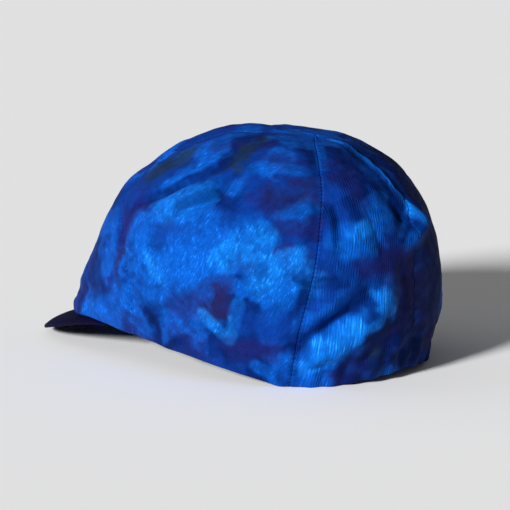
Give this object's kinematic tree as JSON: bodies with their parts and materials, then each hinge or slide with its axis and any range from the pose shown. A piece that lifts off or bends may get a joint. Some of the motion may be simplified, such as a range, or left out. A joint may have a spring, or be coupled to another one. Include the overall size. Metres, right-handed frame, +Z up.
{
  "type": "cycling cap",
  "caption": "Soft cotton cycling cap with a panelled, hollow crown, a gathered elastic rear hem and a short peak that slopes down in front, dyed in cloudy blues.",
  "frame": {"origin": "middle of the cap's length and width, on the surface that it rests on", "axes": "the peak points to -Y, the wearer's left is +X, +Z is up"},
  "size_m": [0.151, 0.2227, 0.1151],
  "materials": {
    "crown_cloth": "dyed cotton in clouds of azure, ultramarine, purple and olive, soft sheen",
    "peak_cloth": "dark navy and purple dyed cotton over a thin board, soft sheen"
  },
  "bodies": {
    "root": {"front_panel": "crown_cloth", "side_panel_left": "crown_cloth", "side_panel_right": "crown_cloth", "rear_panel_left": "crown_cloth", "rear_panel_right": "crown_cloth", "peak": "peak_cloth"}
  },
  "joints": []
}
